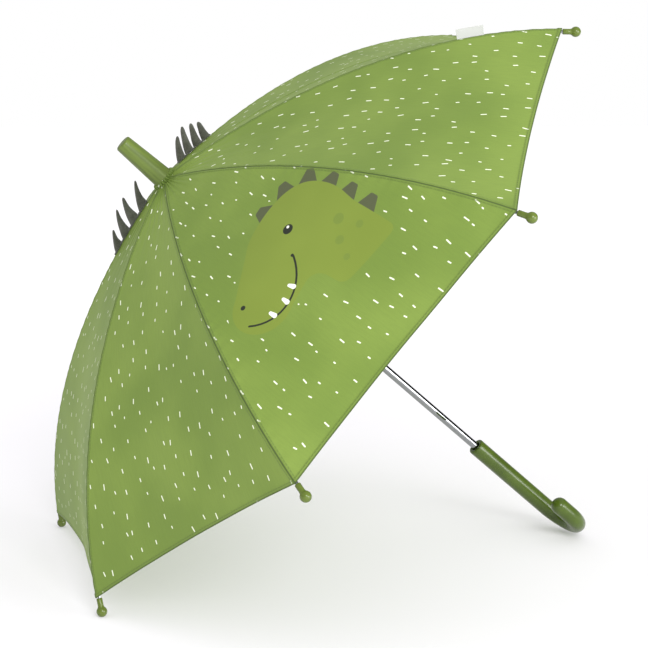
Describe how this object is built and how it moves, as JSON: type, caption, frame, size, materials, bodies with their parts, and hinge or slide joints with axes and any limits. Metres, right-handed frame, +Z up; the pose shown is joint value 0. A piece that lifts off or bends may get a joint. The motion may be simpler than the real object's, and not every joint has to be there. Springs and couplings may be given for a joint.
{
  "type": "children's umbrella",
  "caption": "Child's stick umbrella, open, with a panelled cloth canopy, hinged ribs and stretchers, a sliding runner and a crook handle.",
  "frame": {"origin": "on the floor under the middle of the part's box", "axes": "+Z up from the floor; the stick lies in the XZ plane, with the crook handle towards +X and the ferrule up towards -X; -Y is the side with the printed panel"},
  "size_m": [0.5326, 0.6858, 0.5218],
  "materials": {
    "canopy_cloth": "woven polyester, printed with short pale dashes",
    "handle_plastic": "moulded, satin gloss",
    "ferrule_plastic": "moulded, satin",
    "chromed_steel": "bright chromed tube",
    "zinc_steel": "zinc plated",
    "runner_plastic": "moulded, matt",
    "spike_felt": "stiff felt"
  },
  "bodies": {
    "stick": {"shaft": "chromed_steel", "handle": "handle_plastic", "ferrule": "ferrule_plastic", "top_notch": "runner_plastic", "notch_wire": "zinc_steel"},
    "runner": {"runner": "runner_plastic", "runner_wire": "zinc_steel"},
    "top_catch": {"top_catch": "zinc_steel"},
    "bottom_catch": {"bottom_catch": "zinc_steel"},
    "rib_1": {"rib_1": "zinc_steel", "tip_1": "handle_plastic", "rivet_1": "zinc_steel"},
    "stretcher_1": {"stretcher_1": "zinc_steel"},
    "panel_1_left": {"panel_1_left": "canopy_cloth"},
    "panel_1_right": {"panel_1_right": "canopy_cloth"},
    "rib_2": {"rib_2": "zinc_steel", "tip_2": "handle_plastic", "rivet_2": "zinc_steel"},
    "stretcher_2": {"stretcher_2": "zinc_steel"},
    "panel_2_left": {"panel_2_left": "canopy_cloth"},
    "panel_2_right": {"panel_2_right": "canopy_cloth"},
    "rib_3": {"rib_3": "zinc_steel", "tip_3": "handle_plastic", "rivet_3": "zinc_steel"},
    "stretcher_3": {"stretcher_3": "zinc_steel"},
    "panel_3_left": {"panel_3_left": "canopy_cloth"},
    "panel_3_right": {"panel_3_right": "canopy_cloth"},
    "rib_4": {"rib_4": "zinc_steel", "tip_4": "handle_plastic", "rivet_4": "zinc_steel"},
    "stretcher_4": {"stretcher_4": "zinc_steel"},
    "panel_4_left": {"panel_4_left": "canopy_cloth"},
    "panel_4_right": {"panel_4_right": "canopy_cloth"},
    "rib_5": {"rib_5": "zinc_steel", "tip_5": "handle_plastic", "rivet_5": "zinc_steel", "spikes_5": "spike_felt"},
    "stretcher_5": {"stretcher_5": "zinc_steel"},
    "panel_5_left": {"panel_5_left": "canopy_cloth"},
    "panel_5_right": {"panel_5_right": "canopy_cloth"},
    "rib_6": {"rib_6": "zinc_steel", "tip_6": "handle_plastic", "rivet_6": "zinc_steel"},
    "stretcher_6": {"stretcher_6": "zinc_steel"},
    "panel_6_left": {"panel_6_left": "canopy_cloth"},
    "panel_6_right": {"panel_6_right": "canopy_cloth"},
    "rib_7": {"rib_7": "zinc_steel", "tip_7": "handle_plastic", "rivet_7": "zinc_steel", "tie_strap": "canopy_cloth"},
    "stretcher_7": {"stretcher_7": "zinc_steel"},
    "panel_7_left": {"panel_7_left": "canopy_cloth"},
    "panel_7_right": {"panel_7_right": "canopy_cloth"},
    "rib_8": {"rib_8": "zinc_steel", "tip_8": "handle_plastic", "rivet_8": "zinc_steel", "spikes_8": "spike_felt"},
    "stretcher_8": {"stretcher_8": "zinc_steel"},
    "panel_8_left": {"panel_8_left": "canopy_cloth"},
    "panel_8_right": {"panel_8_right": "canopy_cloth"}
  },
  "joints": [
    {"name": "umbrella_close", "type": "hinge", "parent": "stick", "child": "rib_1", "pos_m": [-0.16347, -0.00281, 0.37893], "axis": [0.2498, 0.9239, 0.2899], "range_deg": [0, 62.86], "deforming": ["panel_1_left", "panel_1_right", "panel_2_left", "panel_2_right", "panel_3_left", "panel_3_right", "panel_4_left", "panel_4_right", "panel_5_left", "panel_5_right", "panel_6_left", "panel_6_right", "panel_7_left", "panel_7_right", "panel_8_left", "panel_8_right", "top_catch", "bottom_catch"]},
    {"name": "stretcher_1_swing", "type": "hinge", "parent": "rib_1", "child": "stretcher_1", "pos_m": [-0.0193, -0.0696, 0.46755], "axis": [-0.2498, -0.9239, -0.2899], "range_deg": [0, 125.74]},
    {"name": "panel_1_left_pleat", "type": "hinge", "parent": "rib_1", "child": "panel_1_left", "pos_m": [-0.1631, -0.00146, 0.37936], "axis": [-0.2763, -0.6419, -0.7153], "range_deg": [0, 30.18]},
    {"name": "panel_1_right_pleat", "type": "hinge", "parent": "rib_1", "child": "panel_1_right", "pos_m": [-0.16383, -0.00416, 0.37851], "axis": [-0.1581, -0.9646, 0.2113], "range_deg": [0, 30.18]},
    {"name": "rib_2_fold", "type": "hinge", "parent": "stick", "child": "rib_2", "pos_m": [-0.16606, -0.00679, 0.37592], "axis": [0.6032, 0.3827, 0.6998], "range_deg": [0, 62.86]},
    {"name": "stretcher_2_swing", "type": "hinge", "parent": "rib_2", "child": "stretcher_2", "pos_m": [-0.08356, -0.16804, 0.39299], "axis": [-0.6032, -0.3827, -0.6998], "range_deg": [0, 125.74]},
    {"name": "panel_2_left_pleat", "type": "hinge", "parent": "rib_2", "child": "panel_2_left", "pos_m": [-0.16518, -0.00623, 0.37694], "axis": [-0.4345, 0.0568, -0.8989], "range_deg": [0, 30.18]},
    {"name": "panel_2_right_pleat", "type": "hinge", "parent": "rib_2", "child": "panel_2_right", "pos_m": [-0.16695, -0.00735, 0.3749], "axis": [-0.6142, -0.7222, -0.318], "range_deg": [0, 30.18]},
    {"name": "rib_3_fold", "type": "hinge", "parent": "stick", "child": "rib_3", "pos_m": [-0.16974, -0.00679, 0.37166], "axis": [0.6032, -0.3827, 0.6998], "range_deg": [0, 62.86]},
    {"name": "stretcher_3_swing", "type": "hinge", "parent": "rib_3", "child": "stretcher_3", "pos_m": [-0.17444, -0.16804, 0.28754], "axis": [-0.6032, 0.3827, -0.6998], "range_deg": [0, 125.74]},
    {"name": "panel_3_left_pleat", "type": "hinge", "parent": "rib_3", "child": "panel_3_left", "pos_m": [-0.16885, -0.00735, 0.37269], "axis": [-0.2238, 0.7222, -0.6544], "range_deg": [0, 30.18]},
    {"name": "panel_3_right_pleat", "type": "hinge", "parent": "rib_3", "child": "panel_3_right", "pos_m": [-0.17062, -0.00623, 0.37064], "axis": [-0.8249, -0.0568, -0.5624], "range_deg": [0, 30.18]},
    {"name": "rib_4_fold", "type": "hinge", "parent": "stick", "child": "rib_4", "pos_m": [-0.17233, -0.00281, 0.36865], "axis": [0.2498, -0.9239, 0.2899], "range_deg": [0, 62.86]},
    {"name": "stretcher_4_swing", "type": "hinge", "parent": "rib_4", "child": "stretcher_4", "pos_m": [-0.23871, -0.0696, 0.21298], "axis": [-0.2498, 0.9239, -0.2899], "range_deg": [0, 125.74]},
    {"name": "panel_4_left_pleat", "type": "hinge", "parent": "rib_4", "child": "panel_4_left", "pos_m": [-0.17197, -0.00416, 0.36908], "axis": [0.2323, 0.9646, -0.1252], "range_deg": [0, 30.18]},
    {"name": "panel_4_right_pleat", "type": "hinge", "parent": "rib_4", "child": "panel_4_right", "pos_m": [-0.1727, -0.00146, 0.36823], "axis": [-0.6667, 0.6419, -0.3789], "range_deg": [0, 30.18]},
    {"name": "rib_5_fold", "type": "hinge", "parent": "stick", "child": "rib_5", "pos_m": [-0.17233, 0.00281, 0.36865], "axis": [-0.2498, -0.9239, -0.2899], "range_deg": [0, 62.86]},
    {"name": "stretcher_5_swing", "type": "hinge", "parent": "rib_5", "child": "stretcher_5", "pos_m": [-0.23871, 0.0696, 0.21298], "axis": [0.2498, 0.9239, 0.2899], "range_deg": [0, 125.74]},
    {"name": "panel_5_left_pleat", "type": "hinge", "parent": "rib_5", "child": "panel_5_left", "pos_m": [-0.1727, 0.00146, 0.36823], "axis": [0.6667, 0.6419, 0.3789], "range_deg": [0, 30.18]},
    {"name": "panel_5_right_pleat", "type": "hinge", "parent": "rib_5", "child": "panel_5_right", "pos_m": [-0.17197, 0.00416, 0.36908], "axis": [-0.2323, 0.9646, 0.1252], "range_deg": [0, 30.18]},
    {"name": "rib_6_fold", "type": "hinge", "parent": "stick", "child": "rib_6", "pos_m": [-0.16974, 0.00679, 0.37166], "axis": [-0.6032, -0.3827, -0.6998], "range_deg": [0, 62.86]},
    {"name": "stretcher_6_swing", "type": "hinge", "parent": "rib_6", "child": "stretcher_6", "pos_m": [-0.17444, 0.16804, 0.28754], "axis": [0.6032, 0.3827, 0.6998], "range_deg": [0, 125.74]},
    {"name": "panel_6_left_pleat", "type": "hinge", "parent": "rib_6", "child": "panel_6_left", "pos_m": [-0.17062, 0.00623, 0.37064], "axis": [0.8249, -0.0568, 0.5624], "range_deg": [0, 30.18]},
    {"name": "panel_6_right_pleat", "type": "hinge", "parent": "rib_6", "child": "panel_6_right", "pos_m": [-0.16885, 0.00735, 0.37269], "axis": [0.2238, 0.7222, 0.6544], "range_deg": [0, 30.18]},
    {"name": "rib_7_fold", "type": "hinge", "parent": "stick", "child": "rib_7", "pos_m": [-0.16606, 0.00679, 0.37592], "axis": [-0.6032, 0.3827, -0.6998], "range_deg": [0, 62.86]},
    {"name": "stretcher_7_swing", "type": "hinge", "parent": "rib_7", "child": "stretcher_7", "pos_m": [-0.08356, 0.16804, 0.39299], "axis": [0.6032, -0.3827, 0.6998], "range_deg": [0, 125.74]},
    {"name": "panel_7_left_pleat", "type": "hinge", "parent": "rib_7", "child": "panel_7_left", "pos_m": [-0.16695, 0.00735, 0.3749], "axis": [0.6142, -0.7222, 0.318], "range_deg": [0, 30.18]},
    {"name": "panel_7_right_pleat", "type": "hinge", "parent": "rib_7", "child": "panel_7_right", "pos_m": [-0.16518, 0.00623, 0.37694], "axis": [0.4345, 0.0568, 0.8989], "range_deg": [0, 30.18]},
    {"name": "rib_8_fold", "type": "hinge", "parent": "stick", "child": "rib_8", "pos_m": [-0.16347, 0.00281, 0.37893], "axis": [-0.2498, 0.9239, -0.2899], "range_deg": [0, 62.86]},
    {"name": "stretcher_8_swing", "type": "hinge", "parent": "rib_8", "child": "stretcher_8", "pos_m": [-0.0193, 0.0696, 0.46755], "axis": [0.2498, -0.9239, 0.2899], "range_deg": [0, 125.74]},
    {"name": "panel_8_left_pleat", "type": "hinge", "parent": "rib_8", "child": "panel_8_left", "pos_m": [-0.16383, 0.00416, 0.37851], "axis": [0.1581, -0.9646, -0.2113], "range_deg": [0, 30.18]},
    {"name": "panel_8_right_pleat", "type": "hinge", "parent": "rib_8", "child": "panel_8_right", "pos_m": [-0.1631, 0.00146, 0.37936], "axis": [0.2763, -0.6419, 0.7153], "range_deg": [0, 30.18]},
    {"name": "runner_slide", "type": "hinge", "parent": "stretcher_1", "child": "runner", "pos_m": [-0.08568, -0.00281, 0.31189], "axis": [0.2498, 0.9239, 0.2899], "range_deg": [0, 62.87]},
    {"name": "top_catch_press", "type": "slide", "parent": "stick", "child": "top_catch", "axis": [0, 1, 0], "range_m": [0, 0.0048], "stiffness_N_per_m": 400},
    {"name": "bottom_catch_press", "type": "slide", "parent": "stick", "child": "bottom_catch", "axis": [0, 1, 0], "range_m": [0, 0.0048], "stiffness_N_per_m": 400}
  ],
  "couplings": [
    {"joint": "stretcher_1_swing", "follows": "umbrella_close", "ratio": 2},
    {"joint": "panel_1_left_pleat", "follows": "umbrella_close", "ratio": 0.47991},
    {"joint": "panel_1_right_pleat", "follows": "umbrella_close", "ratio": 0.47991},
    {"joint": "rib_2_fold", "follows": "umbrella_close", "ratio": 1},
    {"joint": "stretcher_2_swing", "follows": "umbrella_close", "ratio": 2},
    {"joint": "panel_2_left_pleat", "follows": "umbrella_close", "ratio": 0.47991},
    {"joint": "panel_2_right_pleat", "follows": "umbrella_close", "ratio": 0.47991},
    {"joint": "rib_3_fold", "follows": "umbrella_close", "ratio": 1},
    {"joint": "stretcher_3_swing", "follows": "umbrella_close", "ratio": 2},
    {"joint": "panel_3_left_pleat", "follows": "umbrella_close", "ratio": 0.47991},
    {"joint": "panel_3_right_pleat", "follows": "umbrella_close", "ratio": 0.47991},
    {"joint": "rib_4_fold", "follows": "umbrella_close", "ratio": 1},
    {"joint": "stretcher_4_swing", "follows": "umbrella_close", "ratio": 2},
    {"joint": "panel_4_left_pleat", "follows": "umbrella_close", "ratio": 0.47991},
    {"joint": "panel_4_right_pleat", "follows": "umbrella_close", "ratio": 0.47991},
    {"joint": "rib_5_fold", "follows": "umbrella_close", "ratio": 1},
    {"joint": "stretcher_5_swing", "follows": "umbrella_close", "ratio": 2},
    {"joint": "panel_5_left_pleat", "follows": "umbrella_close", "ratio": 0.47991},
    {"joint": "panel_5_right_pleat", "follows": "umbrella_close", "ratio": 0.47991},
    {"joint": "rib_6_fold", "follows": "umbrella_close", "ratio": 1},
    {"joint": "stretcher_6_swing", "follows": "umbrella_close", "ratio": 2},
    {"joint": "panel_6_left_pleat", "follows": "umbrella_close", "ratio": 0.47991},
    {"joint": "panel_6_right_pleat", "follows": "umbrella_close", "ratio": 0.47991},
    {"joint": "rib_7_fold", "follows": "umbrella_close", "ratio": 1},
    {"joint": "stretcher_7_swing", "follows": "umbrella_close", "ratio": 2},
    {"joint": "panel_7_left_pleat", "follows": "umbrella_close", "ratio": 0.47991},
    {"joint": "panel_7_right_pleat", "follows": "umbrella_close", "ratio": 0.47991},
    {"joint": "rib_8_fold", "follows": "umbrella_close", "ratio": 1},
    {"joint": "stretcher_8_swing", "follows": "umbrella_close", "ratio": 2},
    {"joint": "panel_8_left_pleat", "follows": "umbrella_close", "ratio": 0.47991},
    {"joint": "panel_8_right_pleat", "follows": "umbrella_close", "ratio": 0.47991},
    {"joint": "runner_slide", "follows": "umbrella_close", "ratio": 1}
  ]
}
